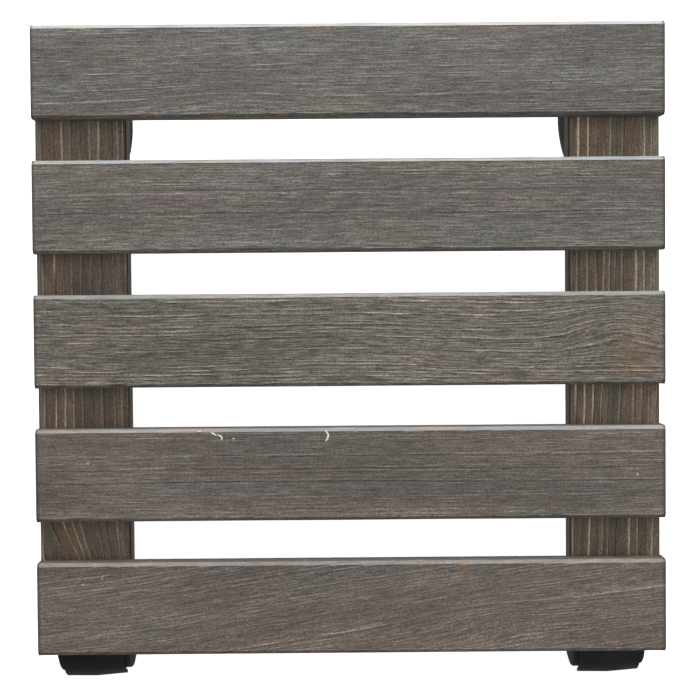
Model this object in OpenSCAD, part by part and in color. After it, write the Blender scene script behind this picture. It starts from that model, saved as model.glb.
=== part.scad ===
// Square slatted plant trolley: five wooden slats on two battens, on four twin-wheel swivel castors.
// Origin: centre of the deck's top face. +Z is up, the slats run along X, and -Y is the front.

/* [Deck] */
// Length of a side of the square deck
deck_side = 300; // [260:10:400]
// Number of slats
slat_count = 5; // [4:1:6]
// Width of a slat
slat_w = 44.5; // [36:0.5:48]
// Thickness of a slat
slat_t = 15; // [12:0.5:20]
// Width of the two battens under the slats
batten_w = 44.2; // [40:0.1:60]
// Thickness of a batten
batten_t = 18; // [16:0.5:24]
// Radius of the planed long edges
edge_r = 2; // [1:0.5:3]
// Side shift of each batten as it was screwed on: left, right
batten_shift = [-0.9, 0];

/* [Castor] */
// Height from the floor to the batten
castor_h = 52; // [50:0.5:56]
// Wheel diameter
wheel_d = 40; // [38:0.5:40.5]
// Width over the crowns of both wheels
wheels_w = 41.8; // [40:0.2:44]
// Distance from the stem's axis back to the axle
trail = 21; // [21:0.5:23]
// Width of the hood over the wheels
hood_w = 31.7; // [29:0.1:33]
// Distance from the deck's edge to the stem's axis
castor_inset = 21.5; // [20:0.5:24]
// Side shift of each castor as it was screwed on: front left, front right, back left, back right
fitted_shift = [-3.1, 0.2, -2, -1.7];
// Turn of each castor about its stem at rest, counter-clockwise from above, in the same order
rest_turn = [2.4, 2, -0.3, 3.8];
// Angle that the brake pedals lift by when released
pedal_lift = 0; // [0:1:8]

/* [Screws] */
// Shank diameter of the screws that hold the slats
slat_screw_d = 4; // [3.5:0.5:4.5]
// Length of the screws that hold the slats
slat_screw_l = 30; // [26:1:31]
// Shank diameter of the screws that hold a castor plate
plate_screw_d = 3.5; // [3:0.5:4]
// Length of those screws under the head
plate_screw_l = 16; // [12:1:18]

/* [Hidden] */
$fn = 64;
eps = 0.01;
wood_clearance = 0.05;
running_clearance = 0.05;
face_gap = 0.1;

CORNERS = ["front_left", "front_right", "back_left", "back_right"];
SIDE_X = [-1, 1, -1, 1];
SIDE_Y = [-1, -1, 1, 1];
BRAKED = [0, 1];
CASTOR_PARTS = ["plate", "plate_screws", "stem", "swivel_washer", "retaining_ring",
                "housing", "axle", "outer_wheel", "inner_wheel"];
PEDAL_PARTS = ["brake_pedal", "pedal_pin"];
BATTENS = ["left", "right"];

wood_colour = [0.44, 0.41, 0.38];
batten_colour = [0.35, 0.31, 0.27];
plastic_colour = [0.12, 0.12, 0.12];
zinc_colour = [0.75, 0.76, 0.78];

// Deck
slat_pitch = (deck_side - slat_w) / (slat_count - 1);
batten_z = -slat_t - batten_t;

// Screws: two at each crossing, set off from its centre so that they clear the castor plate's own
screw_dx = 11;
screw_dy = 5;
recess_w = 1;
recess_depth = 2;

// Castor heights, from the deck's top face
floor_z = batten_z - castor_h;
axle_z = floor_z + wheel_d / 2;
plate_side = 38;
plate_t = 2;
plate_corner_r = 4;
plate_pitch = 29;
plate_bottom = batten_z - plate_t;

// Swivel: the stem hangs from the plate, and the housing turns on it
stem_d = 7;
rivet_d = 10;
rivet_t = 1.2;
washer_d = 15;
washer_t = 3;
boss_d = 14;
boss_flange_d = 18;
boss_flange_t = 3.5;
boss_top = plate_bottom - washer_t - face_gap;
boss_bottom = boss_top - 20.5;
ring_t = 0.9;
ring_d = 10.4;
groove_depth = 0.7;
ring_top = boss_bottom - 0.35;
stem_bottom = ring_top - ring_t - 1.6;

// Wheels, measured along the axle from the castor's middle plane
web_w = 9;
wheel_inner = web_w / 2 + 0.5;
wheel_w = wheels_w / 2 - wheel_inner;
crown = 2.75;
shoulder_r = 1.5;
rim_edge_r = 1;
axle_d = 6;
hub_d = 12;
bore_depth = 11;
recess_r = wheel_d / 2 - 3;
wheel_recess = 8.5;
rib_count = 6;
rib_t = 1.2;
snap_at = 8.6;
snap_w = 0.8;
snap_h = 0.3;

// Hood, a shell around the wheels; its angles are counted over the top from the rear horizontal
hood_t = 1.6;
hood_in_r = wheel_d / 2 + 1;
hood_out_r = hood_in_r + hood_t;
hood_ridge = 0.8;
hood_taper = 0.75;
hood_rear = 10;
hood_front = 155;
web_hub_r = 9;

// Brake pedal: the rear of the hood as a lever of its own, hinged on a pin through the web
pedal_top = 92;
pedal_room = 96;
pin_y = 5;
pin_z = 16.5;
pin_d = 2;
ear_t = 3;
ear_r = 2.4;
ear_front = 89;
ear_rear = 75;
slot_gap = 0.4;
shoe_from = 58;
shoe_to = 66;
shoe_gap = 0.3;
shoe_x = 6;
shoe_w = 8;

// ---- Helpers ----

// A bar along X with its four long edges rounded
module planed_bar(length, width, thickness, r) {
    rotate([90, 0, 90])
        linear_extrude(height = length, center = true) {
            square([width - 2 * r, thickness], center = true);
            square([width, thickness - 2 * r], center = true);
            for (sx = [-1, 1], sy = [-1, 1])
                translate([sx * (width / 2 - r), sy * (thickness / 2 - r)])
                    circle(r = r);
        }
}

// Cross recess, cut up into a screw head whose face is at z = 0
module cross_recess(size) {
    for (a = [0, 90])
        rotate([0, 0, a])
            translate([-size / 2, -recess_w / 2, -eps])
                cube([size, recess_w, recess_depth]);
}

// Countersunk screw pointing up from z = 0; "grow" makes the hole that it sits in
module countersunk_body(grow = 0) {
    r = slat_screw_d / 2 + grow;
    head_r = slat_screw_d + grow;
    tip = slat_screw_d;
    translate([0, 0, -grow])
        cylinder(r1 = head_r, r2 = r, h = head_r - r);
    cylinder(r = r, h = slat_screw_l - tip);
    translate([0, 0, slat_screw_l - tip])
        cylinder(r1 = r, r2 = 0.4, h = tip + grow);
}

// Shank and tip of a plate screw, from the plate's underside up
module plate_screw_shank(grow = 0) {
    r = plate_screw_d / 2 + grow;
    cylinder(r = r, h = plate_screw_l - plate_screw_d);
    translate([0, 0, plate_screw_l - plate_screw_d])
        cylinder(r1 = r, r2 = 0.4, h = plate_screw_d + grow);
}

// Places its children at every slat screw of one batten; side is -1 or 1
module at_slat_screws(side) {
    for (i = [1 : slat_count], s = [-1, 1])
        translate([batten_x(side) + s * screw_dx, slat_y(i) + s * screw_dy, batten_z])
            children();
}

// Places its children at the four screws of castor c
module at_plate_screws(c) {
    for (sx = [-1, 1], sy = [-1, 1])
        translate([stem_x(c) + sx * plate_pitch / 2, stem_y(c) + sy * plate_pitch / 2, plate_bottom])
            children();
}

// Stem axis of castor c, before the castor's turn
module at_stem(c) {
    translate([stem_x(c), stem_y(c), 0])
        children();
}

// Frame of castor c's turning parts: origin on the axle, in the castor's middle plane
module at_axle(c) {
    at_stem(c)
        rotate([0, 0, rest_turn[c]])
            translate([0, -trail, axle_z])
                children();
}

// Turns a shape made along Z so that it lies along X
module along_x() {
    rotate([0, 90, 0])
        children();
}

// Sweeps a half section around the axle, between two angles counted over the top from the rear
module around_axle(from, to) {
    along_x()
        rotate([0, 0, 270 - to])
            rotate_extrude(angle = to - from)
                children();
}

// Part of a plain ring around the axle
module arc_shell(r_in, r_out, width, from, to) {
    around_axle(from, to)
        translate([r_in, -width / 2])
            square([r_out - r_in, width]);
}

function batten_x(side) = side * (deck_side / 2 - batten_w / 2) + batten_shift[(side + 1) / 2];
function slat_y(i) = deck_side / 2 - slat_w / 2 - (i - 1) * slat_pitch;
function stem_x(c) = SIDE_X[c] * (deck_side / 2 - castor_inset) + fitted_shift[c];
function stem_y(c) = SIDE_Y[c] * (deck_side / 2 - castor_inset);
function is_braked(c) = len(search(c, BRAKED)) > 0;

// ---- Deck ----

// Slat i, counted from the back
module slat(i) {
    color(wood_colour)
        difference() {
            translate([0, slat_y(i), -slat_t / 2])
                planed_bar(deck_side, slat_w, slat_t, edge_r);
            for (side = [-1, 1])
                at_slat_screws(side)
                    countersunk_body(wood_clearance);
        }
}

// Batten under the slats' ends, with the holes for the slat screws and for two castor plates
module batten(side) {
    color(batten_colour)
        difference() {
            translate([batten_x(side), 0, batten_z + batten_t / 2])
                rotate([0, 0, 90])
                    planed_bar(deck_side, batten_w, batten_t, edge_r);
            at_slat_screws(side)
                countersunk_body(wood_clearance);
            for (c = [0 : len(CORNERS) - 1])
                if (SIDE_X[c] == side)
                    at_plate_screws(c)
                        plate_screw_shank(wood_clearance);
        }
}

module slat_screws(side) {
    color(zinc_colour)
        at_slat_screws(side)
            difference() {
                countersunk_body();
                cross_recess(slat_screw_d + 0.6);
            }
}

// ---- Castor: what stays still under the deck ----

module plate(c) {
    inner = plate_side / 2 - plate_corner_r;
    color(zinc_colour)
        at_stem(c)
            difference() {
                translate([0, 0, plate_bottom])
                    linear_extrude(height = plate_t) {
                        square([plate_side - 2 * plate_corner_r, plate_side], center = true);
                        square([plate_side, plate_side - 2 * plate_corner_r], center = true);
                        for (sx = [-1, 1], sy = [-1, 1])
                            translate([sx * inner, sy * inner])
                                circle(r = plate_corner_r);
                    }
                for (sx = [-1, 1], sy = [-1, 1])
                    translate([sx * plate_pitch / 2, sy * plate_pitch / 2, plate_bottom - eps])
                        cylinder(d = plate_screw_d + 0.7, h = plate_t + 2 * eps);
                stem_outline(eps);
            }
}

module plate_screws(c) {
    head_d = 7;
    head_t = 2.2;
    head_r = 4.2;
    color(zinc_colour)
        at_plate_screws(c) {
            plate_screw_shank();
            difference() {
                intersection() {
                    translate([0, 0, -head_t])
                        cylinder(d = head_d, h = head_t);
                    translate([0, 0, head_r - head_t])
                        sphere(r = head_r);
                }
                translate([0, 0, -head_t])
                    cross_recess(4);
            }
        }
}

// Rivet head in the plate and the shank below it; "reach" lets the plate's hole run past its face
module stem_outline(reach = 0) {
    translate([0, 0, batten_z - rivet_t])
        cylinder(d1 = stem_d, d2 = rivet_d, h = rivet_t + reach / 10);
    translate([0, 0, stem_bottom])
        cylinder(d = stem_d, h = batten_z - stem_bottom - eps);
}

module stem(c) {
    groove_r = stem_d / 2 - groove_depth;
    chamfer = 0.8;
    color(zinc_colour)
        at_stem(c)
            difference() {
                stem_outline();
                translate([0, 0, ring_top - ring_t - face_gap])
                    difference() {
                        cylinder(d = stem_d + 1, h = ring_t + 2 * face_gap);
                        cylinder(r = groove_r, h = ring_t + 2 * face_gap);
                    }
                translate([0, 0, stem_bottom - eps])
                    difference() {
                        cylinder(d = stem_d + 1, h = chamfer);
                        cylinder(d1 = stem_d - 2 * chamfer, d2 = stem_d, h = chamfer);
                    }
            }
}

module swivel_washer(c) {
    color(zinc_colour)
        at_stem(c)
            translate([0, 0, plate_bottom - washer_t])
                difference() {
                    cylinder(d = washer_d, h = washer_t);
                    translate([0, 0, -eps])
                        cylinder(d = stem_d + 2 * running_clearance, h = washer_t + 2 * eps);
                }
}

// Open spring ring that snaps into the stem's groove and holds the housing up
module retaining_ring(c) {
    mouth = 4;
    color(zinc_colour)
        at_stem(c)
            translate([0, 0, ring_top - ring_t])
                difference() {
                    cylinder(d = ring_d, h = ring_t);
                    translate([0, 0, -eps])
                        cylinder(r = stem_d / 2 - groove_depth + running_clearance, h = ring_t + 2 * eps);
                    translate([-mouth / 2, 0, -eps])
                        cube([mouth, ring_d, ring_t + 2 * eps]);
                }
}

// ---- Castor: what turns about the stem ----

module housing(c) {
    core_r = 1;
    color(plastic_colour)
        at_axle(c)
            difference() {
                union() {
                    hood_arc(core_r, hood_front);
                    along_x()
                        cylinder(r = web_hub_r, h = web_w + 1, center = true);
                    swivel_boss();
                }
                wheel_pockets();
                translate([0, trail, boss_bottom - axle_z - 1])
                    cylinder(d = stem_d + 2 * running_clearance, h = boss_top - boss_bottom + 2);
                along_x()
                    cylinder(d = axle_d, h = web_w + 1, center = true);
                if (is_braked(c))
                    pedal_space();
            }
}

// Hood from its rear end to the angle "to": a slight ridge runs along its middle, and it narrows
// towards the rear. Its outside is always the same; "r_in" sets how deep it goes.
module hood_arc(r_in, to) {
    half = hood_w / 2;
    side_cut = half + 1;
    reach = hood_out_r + hood_ridge + 1;
    intersection() {
        around_axle(hood_rear, to)
            polygon([[r_in, -side_cut], [hood_out_r, -side_cut], [hood_out_r + hood_ridge, 0],
                     [hood_out_r, side_cut], [r_in, side_cut]]);
        linear_extrude(height = reach)
            polygon([[-half, reach], [-half, 0], [hood_taper - half, -reach],
                     [half - hood_taper, -reach], [half, 0], [half, reach]]);
    }
}

module swivel_boss() {
    translate([0, trail, boss_bottom - axle_z])
        cylinder(d = boss_d, h = boss_top - boss_bottom);
    translate([0, trail, boss_top - axle_z - boss_flange_t])
        cylinder(d = boss_flange_d, h = boss_flange_t);
}

// Room for the two wheels, on each side of the web
module wheel_pockets() {
    for (s = [-1, 1])
        translate([s * (web_w / 2 + hood_w / 2), 0, 0])
            along_x()
                cylinder(r = hood_in_r, h = hood_w, center = true);
}

// Room that the pedal's shell and ear take out of the hood and the web, and the pin's hole
module pedal_space() {
    slot_w = ear_t + 2 * slot_gap;
    slot_front = pin_y + ear_r + 1;
    slot_bottom = pin_z - ear_r - 1;
    arc_shell(hood_in_r - 0.5, hood_out_r + 5, hood_w + 4, 0, pedal_room);
    intersection() {
        translate([-slot_w / 2, -wheel_d / 2, slot_bottom])
            cube([slot_w, wheel_d / 2 + slot_front, wheel_d]);
        along_x()
            cylinder(r = hood_in_r + slot_gap, h = slot_w + 1, center = true);
    }
    translate([0, pin_y, pin_z])
        along_x()
            cylinder(d = pin_d, h = web_w + 1, center = true);
}

module axle(c) {
    length = 2 * (wheel_inner + bore_depth) - 0.8;
    groove_w = snap_w + 0.6;
    groove_r = axle_d / 2 - snap_h - 0.1;
    color(zinc_colour)
        at_axle(c)
            along_x()
                difference() {
                    cylinder(d = axle_d, h = length, center = true);
                    for (s = [-1, 1])
                        translate([0, 0, s * (wheel_inner + snap_at)])
                            difference() {
                                cylinder(d = axle_d + 1, h = groove_w, center = true);
                                cylinder(r = groove_r, h = groove_w, center = true);
                            }
                }
}

// One wheel; side is the side of the castor's middle plane that it is on
module wheel(c, side) {
    color(plastic_colour)
        at_axle(c)
            rotate([0, side * 90, 0])
                translate([0, 0, wheel_inner]) {
                    difference() {
                        rotate_extrude()
                            wheel_profile();
                        translate([0, 0, -eps])
                            cylinder(d = axle_d + 2 * running_clearance, h = bore_depth);
                    }
                    wheel_ribs();
                    snap_rib();
                }
}

// Half section: tread, rounded shoulder, crowned outer face, and the recess around the hub
module wheel_profile() {
    r = wheel_d / 2;
    flat_r = r - shoulder_r;
    crown_r = (flat_r * flat_r + crown * crown) / (2 * crown);
    difference() {
        union() {
            intersection() {
                square([flat_r, wheel_w]);
                translate([0, wheel_w - crown_r])
                    circle(r = crown_r, $fn = 256);
            }
            translate([flat_r - 2, rim_edge_r])
                square([2 + shoulder_r, wheel_w - crown - shoulder_r - rim_edge_r]);
            translate([flat_r, wheel_w - crown - shoulder_r])
                circle(r = shoulder_r);
            translate([flat_r - 2, 0])
                square([2 + shoulder_r - rim_edge_r, rim_edge_r + eps]);
            translate([r - rim_edge_r, rim_edge_r])
                circle(r = rim_edge_r);
        }
        translate([hub_d / 2, -1])
            square([recess_r - hub_d / 2, wheel_recess + 1]);
    }
}

// Ribs between the hub and the rim, on the hidden side
module wheel_ribs() {
    overlap = 0.5;
    for (i = [0 : rib_count - 1])
        rotate([0, 0, i * 360 / rib_count])
            translate([hub_d / 2 - overlap, -rib_t / 2, 1])
                cube([recess_r - hub_d / 2 + 2 * overlap, rib_t, wheel_recess]);
}

// Ring inside the bore that snaps into the axle's groove
module snap_rib() {
    bore_r = axle_d / 2 + running_clearance;
    translate([0, 0, snap_at - snap_w / 2])
        difference() {
            cylinder(r = bore_r + 0.5, h = snap_w);
            translate([0, 0, -eps])
                cylinder(r = axle_d / 2 - snap_h, h = snap_w + 2 * eps);
        }
}

// ---- Brake pedal ----

module brake_pedal(c) {
    color(plastic_colour)
        at_axle(c)
            translate([0, pin_y, pin_z])
                rotate([-pedal_lift, 0, 0])
                    translate([0, -pin_y, -pin_z])
                        difference() {
                            union() {
                                hood_arc(hood_in_r, pedal_top);
                                pedal_ear();
                                brake_shoes();
                            }
                            translate([0, pin_y, pin_z])
                                along_x()
                                    cylinder(r = pin_d / 2 + running_clearance, h = ear_t + 1, center = true);
                        }
}

// Ear on the middle of the pedal, reaching down into the web's slot to the pin
module pedal_ear() {
    top_r = hood_in_r + hood_t / 2;
    rotate([90, 0, 90])
        linear_extrude(height = ear_t, center = true) {
            translate([pin_y, pin_z])
                circle(r = ear_r);
            polygon([[pin_y + ear_r, pin_z], [-top_r * cos(ear_front), top_r * sin(ear_front)],
                     [-top_r * cos(ear_rear), top_r * sin(ear_rear)], [pin_y - ear_r, pin_z]]);
        }
}

// Shoes that press on the two treads
module brake_shoes() {
    for (s = [-1, 1])
        translate([s * (shoe_x + shoe_w / 2), 0, 0])
            arc_shell(wheel_d / 2 + shoe_gap, hood_in_r + hood_t / 2, shoe_w, shoe_from, shoe_to);
}

module pedal_pin(c) {
    color(zinc_colour)
        at_axle(c)
            translate([0, pin_y, pin_z])
                along_x()
                    cylinder(d = pin_d, h = web_w - 0.4, center = true);
}

// ---- Assembly ----

for (i = [1 : slat_count])
    slat(i);
for (b = [0, 1])
    batten(2 * b - 1);
for (b = [0, 1])
    slat_screws(2 * b - 1);
for (c = [0 : len(CORNERS) - 1]) {
    plate(c);
    plate_screws(c);
    stem(c);
    swivel_washer(c);
    retaining_ring(c);
    housing(c);
    axle(c);
    wheel(c, SIDE_X[c]);
    wheel(c, -SIDE_X[c]);
}
for (c = BRAKED) {
    brake_pedal(c);
    pedal_pin(c);
}
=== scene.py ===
"""Looks of a square plant trolley: brushed, grey-brown stained softwood on four black castors."""

import itertools
import math
from collections import namedtuple

import bmesh
import bpy
import numpy as np
from mathutils import Euler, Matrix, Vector


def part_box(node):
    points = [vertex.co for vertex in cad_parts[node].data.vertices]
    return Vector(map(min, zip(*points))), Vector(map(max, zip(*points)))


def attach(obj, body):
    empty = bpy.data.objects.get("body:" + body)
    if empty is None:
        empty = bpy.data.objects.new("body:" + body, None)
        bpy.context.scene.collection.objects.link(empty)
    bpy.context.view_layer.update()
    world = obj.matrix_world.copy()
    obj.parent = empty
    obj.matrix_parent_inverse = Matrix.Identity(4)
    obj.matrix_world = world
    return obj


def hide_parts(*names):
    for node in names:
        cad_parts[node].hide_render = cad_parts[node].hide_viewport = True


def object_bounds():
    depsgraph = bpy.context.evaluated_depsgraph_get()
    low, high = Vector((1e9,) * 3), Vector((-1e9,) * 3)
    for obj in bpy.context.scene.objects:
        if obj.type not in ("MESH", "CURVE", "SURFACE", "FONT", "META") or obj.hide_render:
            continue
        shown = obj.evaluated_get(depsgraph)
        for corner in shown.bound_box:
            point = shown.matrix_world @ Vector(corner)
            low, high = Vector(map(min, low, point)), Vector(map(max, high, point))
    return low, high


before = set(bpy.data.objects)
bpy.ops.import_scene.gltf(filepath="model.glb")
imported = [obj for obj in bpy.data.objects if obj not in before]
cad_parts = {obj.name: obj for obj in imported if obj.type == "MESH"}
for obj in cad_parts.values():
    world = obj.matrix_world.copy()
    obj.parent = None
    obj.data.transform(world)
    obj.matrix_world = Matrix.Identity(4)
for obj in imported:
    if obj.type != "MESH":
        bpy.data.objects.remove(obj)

MM = 0.001

cad_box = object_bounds()


def add_object(name, data):
    """An object in the scene that holds a mesh, a light or a camera."""
    made = bpy.data.objects.new(name, data)
    bpy.context.scene.collection.objects.link(made)
    return made


# ---------------------------------------------------------------- camera, light and floor

CAMERA_AT = (-1.66, 25.2, 853.7)  # mm, above the middle of the deck and a little behind it
CAMERA_TURN = (-1.95, -0.07, -0.45)  # degrees away from straight down
CAMERA_LENS = 93.09  # mm

WHITE = (1, 1, 1)
DAYLIGHT = (0.97, 0.985, 1)
SKY_STRENGTH = 0.25

# Soft studio lights: where each one stands, what it faces and its size, all in metres, and its power
Softbox = namedtuple("Softbox", "name at target size watts colour")
SOFTBOXES = (
    Softbox("window_behind", (0.15, 1.1, 0.55), (0, 0.05, 0), (1.5, 0.5), 17.5, DAYLIGHT),
    Softbox("ceiling", (0, 0.25, 1.5), (0, 0, 0), (1.2, 1.2), 5.8, WHITE),
    Softbox("front_fill", (0.5, -1.3, 0.5), (0, 0, -0.03), (1.2, 0.6), 0.9, WHITE),
)

FLOOR_HALF = 20  # m
FLOOR_GLOW = 0.85  # keeps the floor near white where the trolley shades it


def add_camera():
    """The photograph's view: nearly straight down on the deck."""
    data = bpy.data.cameras.new("camera")
    data.lens = CAMERA_LENS
    camera = add_object("camera", data)
    camera.location = Vector(CAMERA_AT) * MM
    camera.rotation_euler = Euler([math.radians(angle) for angle in CAMERA_TURN])
    bpy.context.scene.camera = camera


def add_softbox(box):
    """A rectangular area light, turned to its target."""
    data = bpy.data.lights.new(box.name, "AREA")
    data.shape = "RECTANGLE"
    data.size, data.size_y = box.size
    data.energy = box.watts
    data.color = box.colour
    light = add_object(box.name, data)
    light.visible_camera = False
    light.location = box.at
    light.rotation_euler = (Vector(box.target) - Vector(box.at)).to_track_quat("-Z", "Y").to_euler()


def add_world():
    """Weak, even light from all round."""
    world = bpy.data.worlds.new("studio")
    world.use_nodes = True
    background = world.node_tree.nodes["Background"]
    background.inputs["Color"].default_value = (*DAYLIGHT, 1)
    background.inputs["Strength"].default_value = SKY_STRENGTH
    bpy.context.scene.world = world


def add_floor(level):
    """A pale floor that the camera sees, but that sends no light up under the deck."""
    mesh = bpy.data.meshes.new("floor")
    sides = ((-1, -1), (1, -1), (1, 1), (-1, 1))
    corners = [(x * FLOOR_HALF, y * FLOOR_HALF, level) for x, y in sides]
    mesh.from_pydata(corners, [], [(0, 1, 2, 3)])
    mesh.materials.append(paper())
    floor = add_object("floor", mesh)
    floor.visible_diffuse = False
    floor.visible_glossy = False


# ---------------------------------------------------------------- material building

def srgb(red, green, blue):
    """A colour given in 0 to 255 as the linear numbers that a shader takes."""
    def linear(value):
        value /= 255
        return value / 12.92 if value <= 0.04045 else ((value + 0.055) / 1.055) ** 2.4
    return (linear(red), linear(green), linear(blue), 1)


class Shader:
    """A material's node tree, with one short call for each kind of node used here."""

    def __init__(self, name, **values):
        self.material = bpy.data.materials.new(name)
        self.material.use_nodes = True
        self.tree = self.material.node_tree
        self.surface = self.tree.nodes["Principled BSDF"]
        for socket, value in values.items():
            self.surface.inputs[socket.replace("_", " ").title()].default_value = value

    def node(self, kind, **settings):
        made = self.tree.nodes.new("ShaderNode" + kind)
        for name, value in settings.items():
            setattr(made, name, value)
        return made

    def feed(self, socket, value):
        """Sets a socket to a number or colour, or links it to another node's output."""
        if isinstance(value, bpy.types.NodeSocket):
            self.tree.links.new(value, socket)
        else:
            socket.default_value = value

    def attribute(self, name, output="Fac"):
        return self.node("Attribute", attribute_name=name).outputs[output]

    def place(self):
        """Where a point is on its own object, in metres."""
        return self.node("TexCoord").outputs["Object"]

    def vector_math(self, operation, vector, numbers, output="Vector"):
        made = self.node("VectorMath", operation=operation)
        self.feed(made.inputs[0], vector)
        self.feed(made.inputs[1], numbers)
        return made.outputs[output]

    def noise(self, vector, scale=1.0, detail=2.0, roughness=0.5):
        made = self.node("TexNoise")
        self.feed(made.inputs["Vector"], vector)
        made.inputs["Scale"].default_value = scale
        made.inputs["Detail"].default_value = detail
        made.inputs["Roughness"].default_value = roughness
        return made.outputs["Fac"]

    def span(self, value, low, high, to_low=0.0, to_high=1.0):
        """Maps low..high smoothly to to_low..to_high, held at both ends."""
        made = self.node("MapRange", interpolation_type="SMOOTHSTEP")
        self.feed(made.inputs["Value"], value)
        made.inputs["From Min"].default_value = low
        made.inputs["From Max"].default_value = high
        made.inputs["To Min"].default_value = to_low
        made.inputs["To Max"].default_value = to_high
        return made.outputs["Result"]

    def spread(self, noise, to_low=0.0, to_high=1.0):
        """Maps the values that a noise mostly has to to_low..to_high."""
        return self.span(noise, 0.3, 0.7, to_low, to_high)

    def math(self, operation, first, second):
        made = self.node("Math", operation=operation)
        self.feed(made.inputs[0], first)
        self.feed(made.inputs[1], second)
        return made.outputs[0]

    def mix(self, share, first, second, blend="MIX"):
        """Colours first and second, mixed by share."""
        made = self.node("Mix", data_type="RGBA", blend_type=blend)
        self.feed(made.inputs[0], share)
        self.feed(made.inputs[6], first)
        self.feed(made.inputs[7], second)
        return made.outputs[2]

    def grey(self, value):
        """A number as a grey colour, to multiply another colour by."""
        made = self.node("CombineColor")
        for socket in made.inputs:
            self.feed(socket, value)
        return made.outputs[0]

    def bump(self, height, depth):
        """A normal from a height of 0 to 1 that stands for depth metres."""
        made = self.node("Bump")
        made.inputs["Distance"].default_value = depth
        self.feed(made.inputs["Height"], height)
        return made.outputs[0]

    def finish(self, **sockets):
        """Feeds the surface, and gives the finished material."""
        for name, value in sockets.items():
            self.feed(self.surface.inputs[name.replace("_", " ").title()], value)
        return self.material


def paper():
    """The pale studio floor, with the faint fibre of card."""
    shader = Shader("pale_floor", emission_color=(*WHITE, 1), emission_strength=FLOOR_GLOW)
    fibre = shader.noise(shader.place(), scale=900, detail=3)
    colour = shader.mix(shader.spread(fibre), srgb(246, 246, 246), srgb(252, 252, 252))
    return shader.finish(base_color=colour, roughness=0.9)


# ---------------------------------------------------------------- numbers that look random

def scatter(cells, seed):
    """A number from 0 to 1 for each whole-number cell, the same in every run."""
    mask = np.uint64(0xFFFFFFFF)
    factors = np.array([374761393, 668265263, 2246822519], dtype=np.uint64)
    mixed = (cells.astype(np.int64).astype(np.uint64) * factors & mask).sum(axis=-1)
    mixed = (mixed + np.uint64(seed * 3266489917 & 0xFFFFFFFF)) & mask
    for shift in (15, 13, 16):
        mixed = ((mixed ^ (mixed >> np.uint64(shift))) * np.uint64(2654435761)) & mask
    return mixed.astype(float) / float(0xFFFFFFFF)


def cloud(points, size, seed, octaves=1):
    """Smooth noise from 0 to 1 at points, with bumps of a size given along each axis."""
    total = np.zeros(len(points))
    weight = 0.0
    for octave in range(octaves):
        place = points * 2.0 ** octave / np.array(size, dtype=float)
        cell = np.floor(place)
        part = place - cell
        part = part * part * (3 - 2 * part)
        share = 0.5 ** octave
        weight += share
        for corner in itertools.product((0, 1), repeat=3):
            near = np.where(corner, part, 1 - part).prod(axis=1)
            total += share * near * scatter(cell + corner, seed + octave)
    return total / weight


def step(value, low, high):
    """0 below low, 1 above high, and smooth between."""
    share = np.clip((value - low) / (high - low), 0, 1)
    return share * share * (3 - 2 * share)


# ---------------------------------------------------------------- boards and their grain

# A board's own axes are along its grain, across it and up, in mm from the middle of its top face.
# pith: where the tree's middle lay, across and up. pitch: about how wide a ring is. slant: the
# grain's angle to the board, in degrees. relief: how deep brushing has cut the soft early wood.
# late_from: the share of a ring that is early wood. tint: what its stain's red, green and blue are
# multiplied by. worn: strength of the painted highlight on the upper edge facing across.
Board = namedtuple("Board", "node grain seed pith pitch slant relief late_from tint worn")
BOARDS = (
    Board("slat_1", "x", 11, (-150, -60), 1.5, 0.9, 0.23, 0.60, (0.95, 1.00, 1.08), 0.75),
    Board("slat_2", "x", 23, (-170, -45), 1.55, 0.2, 0.24, 0.60, (0.99, 1.03, 1.08), 0.50),
    Board("slat_3", "x", 37, (160, -70), 1.4, -0.3, 0.33, 0.54, (1.04, 1.05, 1.05), 0.36),
    Board("slat_4", "x", 41, (-140, -40), 1.7, 0.1, 0.18, 0.62, (1.04, 1.01, 1.05), 0.36),
    Board("slat_5", "x", 59, (120, -80), 1.3, 8.0, 0.20, 0.58, (1.17, 1.10, 1.12), 0.24),
    Board("batten_left", "y", 67, (34, -26), 3.2, 0.4, 0.30, 0.52, (1.21, 1.14, 1.11), 0.15),
    Board("batten_right", "y", 83, (34, -28), 3.0, -0.8, 0.30, 0.52, (1.34, 1.33, 1.28), 0.15),
)

# Where the rings bulge round a knot: its place along and across, its reach each way, and how far
# it pushes them, in mm
Knot = namedtuple("Knot", "node along across length width push")
KNOTS = (
    Knot("slat_3", 128, 6, 27, 12, 8),
    Knot("slat_1", -60, -14, 34, 8, -3),
    Knot("slat_5", 70, -6, 40, 10, 3.6),
    Knot("batten_left", -118, 4, 24, 16, -9),
)

# Single long fibres that stand up out of the brushed face, with a groove on their front side
Fibre = namedtuple("Fibre", "node along across length height")
FIBRES = (
    Fibre("slat_2", 0, -3.2, 300, 0.16),
    Fibre("slat_2", 20, 7.7, 250, 0.10),
    Fibre("slat_3", -15, 7.3, 90, 0.26),
    Fibre("slat_3", -60, 1.4, 150, 0.12),
    Fibre("slat_4", 30, 9.3, 220, 0.12),
    Fibre("slat_4", 0, 3.1, 300, 0.12),
    Fibre("slat_4", 0, -3.1, 300, 0.18),
)

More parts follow.
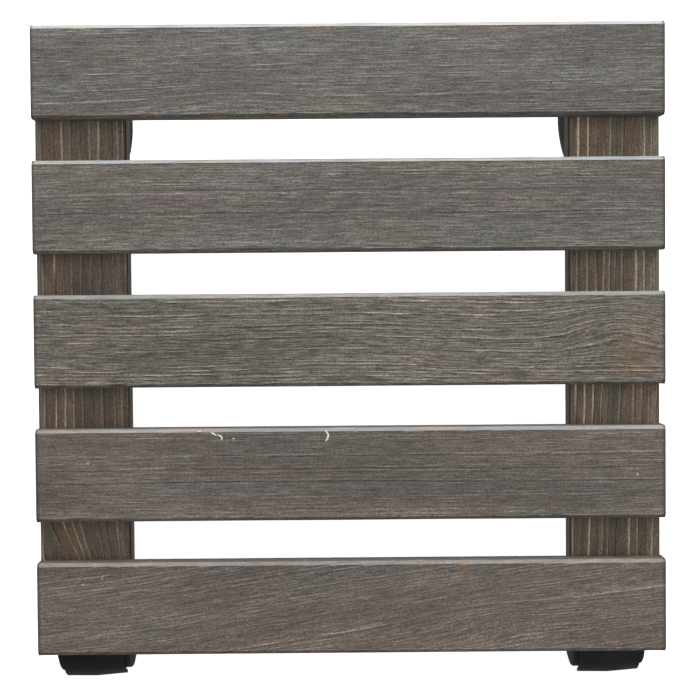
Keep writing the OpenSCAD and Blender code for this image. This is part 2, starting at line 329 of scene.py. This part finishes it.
# Round marks in the stain: radius and how soft the rim is, in mm, the colour, and how strong
Spot = namedtuple("Spot", "node along across radius soft colour share")
PALE = (205, 200, 190)
RESIN = (150, 108, 62)
PIN_HOLE = (28, 24, 20)
SPOTS = (
    Spot("slat_1", 96, -6.8, 0.5, 0.25, PIN_HOLE, 0.9),
    Spot("slat_3", 136, -7, 10, 10, RESIN, 0.26),
    Spot("slat_4", -125, 5.9, 0.5, 0.3, PALE, 0.9),
    Spot("slat_4", 136.6, -1.2, 0.5, 0.3, PALE, 0.9),
    Spot("slat_5", -128, 12, 0.4, 0.3, PALE, 0.8),
    Spot("slat_5", -119, 15, 0.4, 0.3, PALE, 0.8),
    Spot("slat_5", 54, 20, 3, 3, RESIN, 0.5),
    Spot("batten_left", -97, 8, 5, 5, RESIN, 0.35),
)

# How the grain strays sideways: by how many mm, over what distances along, across and up, and the
# seed and octaves of its noise
Stray = namedtuple("Stray", "reach size seed octaves")
STRAYS = (
    Stray(3.0, (110, 60, 60), 0, 1),
    Stray(0.6, (28, 12, 12), 1, 2),
    Stray(0.2, (7, 3, 3), 7, 1),
)

YEARS_RUN = 2.5  # rings, about how many wide or narrow ones follow each other
YEARS_SHIFT = 1.8  # rings, how far they move a ring from where even ones would put it

# How far out through a ring, as a share of its width, its wood is hardest and its dark line lies
HARDEST = 0.88
RING_LINE = 0.95
RING_LINE_W = 0.2  # mm

BRUSHED_DASH = 20  # mm, how long the runs of hard wood are that stand proud of a brushed face
PLANED_DASH = 50
BETWEEN_DASHES = 0.15  # how hard late wood is between those runs
SOFTEST_RING = 0.55  # how hard the softest ring's late wood is, where the hardest ring's is 1
SIDES_BRUSHED = 0.35  # how much the sides are brushed, where the top is 1
FIBRE_RELIEF = 0.12  # mm
SWELL = 0.10  # mm, how far the planed face itself is from flat

FIBRE_STRAY = 1.6  # mm
FIBRE_TAPER = 12  # mm, the length over which a raised fibre runs out at each end
FIBRE_W = 0.35  # mm
GROOVE_W = 0.4  # mm
GROOVE_OFF = 0.8  # mm, from the fibre to the groove beside it
GROOVE_DEPTH = 0.7  # where the fibre's height is 1

EDGE_R = 2.0  # mm, the reach of the eased long edges
EDGE_POWER = 1.3  # 1 would be a flat bevel and 2 a quarter circle
END_R = 0.5  # mm, the radius of the rounded ends
END_FLAT = 1.5  # mm, how far in from its arrises an end's relief grows to its full depth
SKIN_FLAT = 1.2  # mm, the same on the long faces, in from the ends

# Painted shade along the arrises: how far in from them it is darkest and where it ends, in mm
END_SHADE_REACH = (0.3, 0.9)
SIDE_SHADE_REACH = (0.4, 1.0)
END_GRAIN = 0.4  # how dark end grain takes the stain, where an arris is 1

ACROSS_STEPS = 150
UP_STEPS = 44
EDGE_STEPS = 6
ALONG_STEPS = 205
END_STEPS = 3


def eased_edge(angles):
    """Points and outward normals round an eased edge of size 1, at angles from its section's side."""
    cosine, sine = np.cos(angles), np.sin(angles)
    side = np.sign(cosine)
    run = np.stack([side * np.abs(cosine) ** (2 / EDGE_POWER), sine ** (2 / EDGE_POWER)], axis=1)
    lean = 2 - 2 / EDGE_POWER
    out = np.stack([side * np.abs(cosine) ** lean, sine ** lean], axis=1)
    return run, out / np.linalg.norm(out, axis=1, keepdims=True)


def section_run(length, depth, count):
    """Points and outward normals over one side of a board's section, edge middle to edge middle."""
    side = length / 2 - EDGE_R
    top = depth / 2 - EDGE_R
    run, out = eased_edge(np.radians(np.linspace(135, 45, 2 * EDGE_STEPS + 1)))
    left, right = run[:EDGE_STEPS], run[EDGE_STEPS + 1:-1]
    flat = np.linspace(-side, side, count - 2 * EDGE_STEPS + 1)
    points = np.concatenate([
        left * EDGE_R + (-side, top),
        np.stack([flat, np.full(len(flat), depth / 2)], axis=1),
        right * EDGE_R + (side, top),
    ])
    level = np.tile([0.0, 1.0], (len(flat), 1))
    return points, np.concatenate([out[:EDGE_STEPS], level, out[EDGE_STEPS + 1:-1]])


def section(width, thickness):
    """The loop round a board's section, over the top, down, back under and up again."""
    points, normals = [], []
    sides = [(width, thickness, ACROSS_STEPS), (thickness, width, UP_STEPS)] * 2
    for turn, (length, depth, count) in enumerate(sides):
        angle = -math.pi / 2 * turn
        rotate = np.array([[math.cos(angle), -math.sin(angle)], [math.sin(angle), math.cos(angle)]])
        run, out = section_run(length, depth, count)
        points.append(run @ rotate.T)
        normals.append(out @ rotate.T)
    return np.concatenate(points), np.concatenate(normals)


def stations(length):
    """Places along a board, with how far its section is drawn in there to round the ends."""
    turn = np.linspace(0, math.pi / 2, END_STEPS + 1)
    start = -length / 2 + END_R * (1 - np.cos(turn))
    drawn_in = END_R * (1 - np.sin(turn))
    middle = np.linspace(start[-1], -start[-1], ALONG_STEPS + 1)[1:-1]
    places = np.concatenate([start, middle, -start[::-1]])
    return places, np.concatenate([drawn_in, np.zeros(len(middle)), drawn_in[::-1]])


def loop_faces(rows, count):
    """Quads between neighbouring loops of count points."""
    row, at = np.meshgrid(np.arange(rows - 1), np.arange(count), indexing="ij")
    here = row * count + at
    beside = row * count + (at + 1) % count
    return np.stack([here, here + count, beside + count, beside], axis=-1).reshape(-1, 4)


def end_cap(loop):
    """A grid that fills a section loop: its points, and which of them are the loop's own."""
    count = len(loop)
    across, up = np.meshgrid(np.arange(ACROSS_STEPS + 1), np.arange(UP_STEPS + 1), indexing="ij")
    top = loop[across]
    bottom = loop[(2 * ACROSS_STEPS + UP_STEPS - across) % count]
    right = loop[ACROSS_STEPS + up]
    left = loop[(count - up) % count]
    u = (across / ACROSS_STEPS)[..., None]
    v = (up / UP_STEPS)[..., None]
    corners = (
        (1 - u) * (1 - v) * loop[0] + u * (1 - v) * loop[ACROSS_STEPS]
        + u * v * loop[ACROSS_STEPS + UP_STEPS] + (1 - u) * v * loop[2 * ACROSS_STEPS + UP_STEPS]
    )
    grid = (1 - v) * top + v * bottom + (1 - u) * left + u * right - corners
    own = np.full(across.shape, -1)
    own[:, 0] = np.arange(ACROSS_STEPS + 1)
    own[-1, :] = ACROSS_STEPS + np.arange(UP_STEPS + 1)
    own[:, -1] = 2 * ACROSS_STEPS + UP_STEPS - np.arange(ACROSS_STEPS + 1)
    own[0, 1:] = count - np.arange(1, UP_STEPS + 1)
    return grid, own


def grain_place(board, points):
    """Where points lie in the tree, in mm: along it, out from its middle, and round its middle."""
    along, across, up = points.T
    wander = np.zeros(len(points))
    for stray in STRAYS:
        wander += stray.reach * (cloud(points, stray.size, board.seed + stray.seed, stray.octaves) - 0.5)
    side = across - board.pith[0] + wander - along * math.tan(math.radians(board.slant))
    radius = np.hypot(side, up - board.pith[1])
    for knot in KNOTS:
        if knot.node == board.node:
            away = ((along - knot.along) / knot.length) ** 2 + ((across - knot.across) / knot.width) ** 2
            radius = radius + knot.push * np.exp(-away)
    around = np.arctan2(up - board.pith[1], side) * math.hypot(*board.pith)
    return np.stack([along, radius, around], axis=1)


def ring_count(board, radius):
    """Growth rings counted out from the pith: a whole number at each ring's edge."""
    count = radius / board.pitch
    years = np.stack([count, count * 0, count * 0], axis=1)
    return count + YEARS_SHIFT * cloud(years, (YEARS_RUN, 1, 1), board.seed + 2)


def stray_fibres(board, points):
    """Height of the long raised fibres on the top face and of the grooves beside them."""
    along, across, up = points.T
    on_top = up > -1
    run = points * (1, 0, 0)
    bend = FIBRE_STRAY * (cloud(run, (60, 1, 1), board.seed + 8, 2) - 0.5)
    uneven = 0.4 + cloud(run, (9, 1, 1), board.seed + 9)
    height = np.zeros(len(points))
    for fibre in FIBRES:
        if fibre.node == board.node:
            here = step(fibre.length / 2 - np.abs(along - fibre.along), 0, FIBRE_TAPER)
            strength = fibre.height * here * uneven * on_top
            away = across - (fibre.across + bend)
            height += strength * np.exp(-(away / FIBRE_W) ** 2)
            height -= GROOVE_DEPTH * strength * np.exp(-((away + GROOVE_OFF) / GROOVE_W) ** 2)
    return height


def at_least(low, share):
    """A share of 0 to 1 as a number from low to 1."""
    return low + (1 - low) * share


def ring_wood(board, grain):
    """For each point, how hard its wood is, its ring's shade, and how near the ring's dark line it is."""
    count = ring_count(board, grain[:, 1])
    part = count - np.floor(count)
    late = np.clip((part - board.late_from) / (HARDEST - board.late_from), 0, 1) ** 1.5
    late = late * (1 - step(part, HARDEST, 1))
    dash = BRUSHED_DASH if board.grain == "x" else PLANED_DASH
    dashes = step(cloud(grain, (dash, 1.3, 4), board.seed + 3, 2), 0.25, 0.65)
    shade = scatter(np.stack([np.floor(count)] * 3, axis=1), board.seed + 6)
    hard = late * at_least(BETWEEN_DASHES, dashes) * at_least(SOFTEST_RING, shade)
    line = np.exp(-(((part - RING_LINE) * board.pitch / RING_LINE_W) ** 2))
    return hard, shade, line


def brushed_depth(board, points, out, grain, hard):
    """How deep each point lies under the board's skin, in mm."""
    fibres = cloud(grain, (3.2, 0.55, 0.8), board.seed + 4, 2)
    swell = cloud(points, (45, 9, 9), board.seed + 5)
    brushed = at_least(SIDES_BRUSHED, step(np.abs(out[:, 2]), 0.75, 0.98))
    depth = brushed * (board.relief * (1 - hard) + FIBRE_RELIEF * fibres) + SWELL * swell
    return np.maximum(depth - stray_fibres(board, points), 0)


def on_ends(out):
    """Which points lie on a board's two ends, told by their normals."""
    return np.abs(out[:, 0]) > 0.5


def arris_fade(points, out, size):
    """0 at the arrises of a board's ends and 1 away from them, so that the relief stops there."""
    away = size / 2 - np.abs(points + (0, 0, size[2] / 2))
    ends = step(away[:, 1:].min(axis=1), END_R, END_R + END_FLAT)
    return np.where(on_ends(out), ends, step(away[:, 0], 0, SKIN_FLAT))


def edge_shade_and_end_grain(board, points, out, fade, size):
    """Painted shade along the arrises of the ends and of the battens' tops, and the darker stain that end
    grain takes.
    """
    away = size / 2 - np.abs(points)
    arris_shade_end_grain = 1 - step(away[:, 0], *END_SHADE_REACH)
    if board.grain == "y":
        facing_up = out[:, 2] > 0.1
        arris_shade_end_grain = np.maximum(arris_shade_end_grain, facing_up * (1 - step(away[:, 1], *SIDE_SHADE_REACH)))
    return np.where(on_ends(out), 1 + (END_GRAIN - 1) * fade, arris_shade_end_grain)


def board_axes(board):
    """The board's along, across and up axes in the frame, as columns."""
    along, across = ((1, 0, 0), (0, 1, 0)) if board.grain == "x" else ((0, 1, 0), (-1, 0, 0))
    return np.array([along, across, (0, 0, 1)], dtype=float).T


def board_skin(length, width, thickness):
    """A planed board round its own middle: its points, their outward normals and its faces."""
    loop, normals = section(width, thickness)
    places, drawn_in = stations(length)
    count, rows = len(loop), len(places)
    skin = loop[None] - normals[None] * drawn_in[:, None, None]
    along = np.broadcast_to(places[:, None, None], (rows, count, 1))
    points = [np.concatenate([along, skin], axis=2).reshape(-1, 3)]
    out = [np.tile(np.concatenate([np.zeros((count, 1)), normals], axis=1), (rows, 1))]
    faces = [loop_faces(rows, count)]
    made = rows * count
    for side, row in ((-1, 0), (1, rows - 1)):
        grid, own = end_cap(skin[row])
        inner = own < 0
        added = inner.sum()
        index = own % count + row * count
        index[inner] = made + np.arange(added)
        made += added
        points.append(np.concatenate([np.full((added, 1), places[row]), grid[inner]], axis=1))
        out.append(np.tile([side, 0, 0], (added, 1)))
        quads = np.stack([index[:-1, :-1], index[1:, :-1], index[1:, 1:], index[:-1, 1:]], axis=-1)
        faces.append(quads.reshape(-1, 4)[:, ::-side])
    return np.concatenate(points), np.concatenate(out), np.concatenate(faces)


def board_mesh(board):
    """The brushed board in its place, with what its material needs to know at each point."""
    low, high = (np.array(corner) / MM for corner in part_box(board.node))
    axes = board_axes(board)
    size = np.abs((high - low) @ axes)
    points, out, faces = board_skin(*size)
    points[:, 2] -= size[2] / 2
    grain = grain_place(board, points)
    hard, shade, line = ring_wood(board, grain)
    fade = arris_fade(points, out, size)
    depth = brushed_depth(board, points, out, grain, hard) * fade
    top_middle = (low + high) / 2
    top_middle[2] = high[2]
    placed = (points - out * depth[:, None]) @ axes.T + top_middle
    mesh = bpy.data.meshes.new(board.node + "_planed")
    mesh.from_pydata((placed * MM).tolist(), [], faces.tolist())
    mesh.polygons.foreach_set("use_smooth", np.ones(len(faces), dtype=bool))
    attributes = {
        "grain": grain * MM,
        "on_board": points * MM,
        "late_wood": hard,
        "ring_shade": shade,
        "ring_line": line,
        "arris_shade_end_grain": edge_shade_and_end_grain(board, points, out, fade, size),
        # Painted highlight: 1 on the upper edge facing the across axis, where the back window light
        # catches it
        "back_edge_highlight": 2 * np.clip(out[:, 1], 0, 1) * np.clip(out[:, 2], 0, 1),
    }
    for name, values in attributes.items():
        write_attribute(mesh, name, values)
    return mesh


def write_attribute(mesh, name, values):
    """Stores a number or a vector for each of a mesh's points, for its material."""
    vector = values.ndim == 2
    kind, field = ("FLOAT_VECTOR", "vector") if vector else ("FLOAT", "value")
    made = mesh.attributes.new(name, kind, "POINT")
    made.data.foreach_set(field, values.astype(np.float32).ravel())


# ---------------------------------------------------------------- stain

# Noises over a board: how many bumps to the metre along, out from the pith and round it, their
# detail and their roughness
Pattern = namedtuple("Pattern", "scale detail roughness")
PATTERNS = {
    "tone": Pattern((9, 42, 42), 3, 0.5),
    "patches": Pattern((14, 60, 60), 3, 0.5),
    "blush": Pattern((22, 50, 50), 2, 0.5),
    "streaks": Pattern((60, 480, 480), 3, 0.6),
    "fibres": Pattern((110, 1900, 900), 4, 0.78),
    "pores": Pattern((1000, 1500, 1500), 2, 0.7),
}

# The stain on the slats and on the battens: two shades that it drifts between, its blush, the
# hollows where it gathers, the ridges where brushing has thinned it, what a ring here and there
# takes, how far the rings and the fibres differ in shade, how dark each ring's edge is, and how bare
# the ridges are
Stain = namedtuple("Stain", "cool warm blush hollow ridge ring ring_range fibre_range line bare")
SLAT_STAIN = Stain(
    cool=(121, 117, 107),
    warm=(127, 117, 104),
    blush=(134, 117, 112),
    hollow=(70, 62, 54),
    ridge=(184, 175, 160),
    ring=(108, 99, 87),
    ring_range=0.07,
    fibre_range=0.42,
    line=0.60,
    bare=0.50,
)
BATTEN_STAIN = Stain(
    cool=(138, 128, 111),
    warm=(148, 129, 110),
    blush=(146, 120, 103),
    hollow=(50, 40, 30),
    ridge=(200, 186, 166),
    ring=(100, 82, 64),
    ring_range=0.22,
    fibre_range=0.15,
    line=0.90,
    bare=0.60,
)
MEAN_RELIEF = 0.2  # mm, the relief that a stain's fibre range and bare ridges are given for
MOST_BARE = 0.9

# Colour of the painted shade at the arrises, also the colour that end grain darkens towards
EDGE_SHADE_COLOUR = (36, 32, 28)
SPECK_COLOUR = (205, 198, 184)
# Painted highlight colours for the upper back edges, cool and warm, standing for the window light caught
# there
HIGHLIGHT_COOL = (204, 209, 214)
HIGHLIGHT_WARM = (220, 210, 199)

# How much of each colour shows where it is strongest
BLUSH_SHARE = 0.6
RING_SHARE = 0.7
HOLLOW_SHARE = 0.36
SPECK_SHARE = 0.6
EDGE_SHADE_SHARE = 0.85


def wood_patterns(shader, board, grain):
    """The noises of a board by name, shifted so that no two boards look alike."""
    place = shader.vector_math("ADD", grain, (board.seed * 0.31, board.seed * 0.17, 0))
    made = {}
    for name, pattern in PATTERNS.items():
        scaled = shader.vector_math("MULTIPLY", place, pattern.scale)
        made[name] = shader.noise(scaled, detail=pattern.detail, roughness=pattern.roughness)
    return made


def stain_colour(shader, board, stain, pattern, ring):
    """The stain before its fine shading: patchy, dark in the hollows and thin on the ridges."""
    late = shader.attribute("late_wood")
    bare = min(stain.bare * board.relief / MEAN_RELIEF, MOST_BARE)
    drift = shader.math("ADD", pattern["patches"], shader.span(ring, 0.2, 0.8, -0.12, 0.12))
    blushed = shader.span(pattern["blush"], 0.5, 0.7, 0, BLUSH_SHARE)
    colour = shader.mix(shader.span(drift, 0.4, 0.6), srgb(*stain.cool), srgb(*stain.warm))
    colour = shader.mix(blushed, colour, srgb(*stain.blush))
    colour = shader.mix(shader.span(ring, 0.55, 0.75, 0, RING_SHARE), colour, srgb(*stain.ring))
    colour = shader.mix(shader.span(late, 0, 0.4, HOLLOW_SHARE, 0), colour, srgb(*stain.hollow))
    colour = shader.mix(shader.span(late, 0.15, 0.7, 0, bare), colour, srgb(*stain.ridge))
    edge = shader.math("MULTIPLY", shader.attribute("ring_line"), stain.line)
    return shader.mix(edge, colour, srgb(*stain.hollow))


def stain_shade(shader, board, stain, pattern, ring):
    """What the stain's colour is multiplied by, for its fibres, rings, streaks, tone and pores."""
    fibre_range = stain.fibre_range * board.relief / MEAN_RELIEF
    factors = (
        shader.span(pattern["fibres"], 0.32, 0.68, 1 - fibre_range, 1 + fibre_range),
        shader.span(ring, 0.1, 0.9, 1 - stain.ring_range, 1 + stain.ring_range),
        shader.spread(pattern["streaks"], 0.91, 1.10),
        shader.spread(pattern["tone"], 0.84, 1.15),
        shader.spread(pattern["pores"], 0.60, 1.40),
    )
    shade = 1.0
    for factor in factors:
        shade = shader.math("MULTIPLY", shade, factor)
    return shader.grey(shade)


def add_spots(shader, board, colour):
    """Lays the board's round marks over a colour."""
    place = shader.attribute("on_board", "Vector")
    for spot in SPOTS:
        if spot.node == board.node:
            middle = (spot.along * MM, spot.across * MM, 0)
            away = shader.vector_math("DISTANCE", place, middle, "Value")
            rim = (spot.radius - spot.soft) * MM, (spot.radius + spot.soft) * MM
            share = shader.span(away, *rim, spot.share, 0.0)
            colour = shader.mix(share, colour, srgb(*spot.colour))
    return colour


def paint_back_highlight(shader, board, pattern, colour):
    """Paints a pale highlight along the board's upper back edge, where the window light catches it, in
    uneven streaks.
    """
    # bare here is the colour of the painted highlight
    bare = shader.mix(shader.span(pattern["blush"], 0.4, 0.6), srgb(*HIGHLIGHT_COOL), srgb(*HIGHLIGHT_WARM))
    streaks = shader.span(pattern["streaks"], 0.2, 0.6, 0.55 * board.worn, board.worn)
    on_edge = shader.span(shader.attribute("back_edge_highlight"), 0.35, 0.85)
    return shader.mix(shader.math("MULTIPLY", streaks, on_edge), colour, bare)


def stained_wood(board):
    """Translucent stain on brushed softwood."""
    shader = Shader("stained_" + board.node)
    stain = BATTEN_STAIN if board.node.startswith("batten") else SLAT_STAIN
    pattern = wood_patterns(shader, board, shader.attribute("grain", "Vector"))
    ring = shader.attribute("ring_shade")
    colour = stain_colour(shader, board, stain, pattern, ring)
    colour = shader.mix(1.0, colour, stain_shade(shader, board, stain, pattern, ring), "MULTIPLY")
    colour = shader.mix(1.0, colour, (*board.tint, 1), "MULTIPLY")
    specks = shader.span(pattern["pores"], 0.72, 0.78, 0, SPECK_SHARE)
    colour = shader.mix(specks, colour, srgb(*SPECK_COLOUR))
    colour = add_spots(shader, board, colour)
    # Painted highlight along the upper back edge, streaked
    colour = paint_back_highlight(shader, board, pattern, colour)
    # Painted shade along the arrises, with the real darker stain of end grain
    arris_shade_end_grain = shader.math("MULTIPLY", shader.attribute("arris_shade_end_grain"), EDGE_SHADE_SHARE)
    colour = shader.mix(arris_shade_end_grain, colour, srgb(*EDGE_SHADE_COLOUR))
    normal = shader.bump(pattern["fibres"], 0.16 * MM)
    rough = shader.span(pattern["fibres"], 0.2, 0.8, 0.62, 0.42)
    return shader.finish(base_color=colour, roughness=rough, normal=normal)


def add_board(board):
    """Puts the brushed, stained board in the place of its plain CAD node."""
    piece = add_object(board.node + "_planed", board_mesh(board))
    piece.data.materials.append(stained_wood(board))
    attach(piece, "deck")
    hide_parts(board.node)


# ---------------------------------------------------------------- slivers of bare wood

# Slivers caught in the brushed face of slat 4: where each one lies, in mm on the deck, and its width
Sliver = namedtuple("Sliver", "path width")
SLIVERS = (
    Sliver(((-12.4, -42.9), (-11.1, -43.8), (-10.4, -45.2), (-10.9, -46.8), (-12.0, -48.5)), 1.3),
    Sliver(((-73.2, -42.6), (-71.9, -43.2), (-70.8, -42.9)), 0.9),
    Sliver(((-66.4, -43.4), (-65.0, -44.3), (-63.5, -45.1)), 1.2),
    Sliver(((-63.4, -44.8), (-61.9, -45.1), (-60.9, -46.2), (-61.4, -47.5)), 1.2),
    Sliver(((-56.4, -46.2), (-55.0, -46.9)), 1.0),
)
SLIVER_TOP = -0.02  # mm, just under the deck's top face
SLIVER_T = 0.25  # mm
SLIVER_TIP = 0.25  # how wide and thick its ends are, where its middle is 1

# A sliver's section, out to the side and up, where its half width and half thickness are 1
SLIVER_SECTION = ((0.6, 1), (1, -0.4), (0, -1), (-1, -0.4), (-0.6, 1))


def sliver_mesh(sliver, made):
    """Adds one flat, pointed, closed sliver of wood to a bmesh."""
    path = [Vector((x, y, SLIVER_TOP - SLIVER_T / 2)) for x, y in sliver.path]
    rings = []
    for at, point in enumerate(path):
        ahead = path[min(at + 1, len(path) - 1)] - path[max(at - 1, 0)]
        beside = ahead.cross(Vector((0, 0, 1))).normalized()
        taper = at_least(SLIVER_TIP, math.sin(math.pi * (at + 0.2) / (len(path) - 0.6)))
        side = beside * sliver.width / 2 * taper
        up = Vector((0, 0, SLIVER_T / 2 * taper))
        corners = [(point + side * out + up * rise) * MM for out, rise in SLIVER_SECTION]
        rings.append([made.verts.new(corner) for corner in corners])
    for ring, following in zip(rings, rings[1:]):
        for here in range(len(ring)):
            beyond = (here + 1) % len(ring)
            made.faces.new((ring[here], ring[beyond], following[beyond], following[here]))
    made.faces.new(rings[0][::-1])
    made.faces.new(rings[-1])


def bare_wood():
    """Pale wood that the stain hasn't reached, with short fibres."""
    shader = Shader("bare_wood")
    fibres = shader.noise(shader.place(), scale=1800, detail=3)
    colour = shader.mix(shader.spread(fibres), srgb(232, 222, 200), srgb(255, 252, 244))
    return shader.finish(base_color=colour, roughness=0.7, normal=shader.bump(fibres, 0.03 * MM))


def add_slivers():
    """All the slivers as one piece, a little rounded."""
    made = bmesh.new()
    for sliver in SLIVERS:
        sliver_mesh(sliver, made)
    bmesh.ops.recalc_face_normals(made, faces=made.faces)
    mesh = bpy.data.meshes.new("wood_slivers")
    made.to_mesh(mesh)
    made.free()
    mesh.materials.append(bare_wood())
    piece = add_object("wood_slivers", mesh)
    rounding = piece.modifiers.new("rounding", "SUBSURF")
    rounding.levels = rounding.render_levels = 2
    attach(piece, "deck")


# ---------------------------------------------------------------- castors and fasteners

HOUSING_BLACK = (12, 11, 11)
WHEEL_BLACK = (25, 24, 24)
FLOW_MARKS = 6  # how much paler than the plastic they are, out of 255
DUST_COLOUR = (120, 118, 112)
DUST_SHARE = 0.35
PLASTIC_SPECULAR = 0.36
EASED_W = 0.25  # mm, how wide the eased edges of castors and fasteners are
SHARP = 35  # degrees, the turn from which an edge is eased


def black_plastic(name, base, roughness):
    """Satin moulded plastic with a fine spark-eroded grain, flow marks and a little dust."""
    shader = Shader(name)
    place = shader.place()
    flow = shader.noise(place, scale=120, detail=2)
    texture = shader.noise(place, scale=5500, detail=1)
    dust = shader.noise(place, scale=2600, detail=2)
    paler = [value + FLOW_MARKS for value in base]
    colour = shader.mix(shader.spread(flow), srgb(*base), srgb(*paler))
    colour = shader.mix(shader.span(dust, 0.72, 0.8, 0, DUST_SHARE), colour, srgb(*DUST_COLOUR))
    rough = shader.spread(flow, roughness - 0.05, roughness + 0.07)
    shader.surface.inputs["Specular IOR Level"].default_value = PLASTIC_SPECULAR
    return shader.finish(base_color=colour, roughness=rough, normal=shader.bump(texture, 0.02 * MM))


def zinc():
    """Bright zinc plating, a little clouded."""
    shader = Shader("zinc_plating", metallic=1.0)
    place = shader.place()
    cloudy = shader.noise(place, scale=260, detail=3)
    scratches = shader.noise(shader.vector_math("MULTIPLY", place, (300, 4200, 900)))
    colour = shader.mix(shader.spread(cloudy), srgb(176, 178, 180), srgb(206, 206, 200))
    rough = shader.spread(cloudy, 0.28, 0.42)
    return shader.finish(base_color=colour, roughness=rough, normal=shader.bump(scratches, 0.01 * MM))


def ease_edges(node):
    """Rounds a hard part's sharp edges a little, as moulding and plating do."""
    weld = node.modifiers.new("weld", "WELD")
    weld.merge_threshold = 0.001 * MM
    bevel = node.modifiers.new("eased_edges", "BEVEL")
    bevel.width = EASED_W * MM
    bevel.segments = 2
    bevel.limit_method = "ANGLE"
    bevel.angle_limit = math.radians(SHARP)
    bevel.harden_normals = True


def paint_hardware():
    """Gives each CAD piece of the castors and the fasteners its material."""
    housing = black_plastic("housing_black", HOUSING_BLACK, 0.45)
    wheel = black_plastic("wheel_black", WHEEL_BLACK, 0.5)
    metal = zinc()
    for name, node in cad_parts.items():
        if node.hide_render:
            continue
        if name.endswith(("housing", "brake_pedal")):
            material = housing
        elif name.endswith("wheel"):
            material = wheel
        else:
            material = metal
        node.data.materials.clear()
        node.data.materials.append(material)
        ease_edges(node)


# ---------------------------------------------------------------- the scene

bpy.context.scene.view_settings.view_transform = "Standard"
add_camera()
add_world()
for softbox in SOFTBOXES:
    add_softbox(softbox)
add_floor(cad_box[0].z)
for board in BOARDS:
    add_board(board)
add_slivers()
paint_hardware()
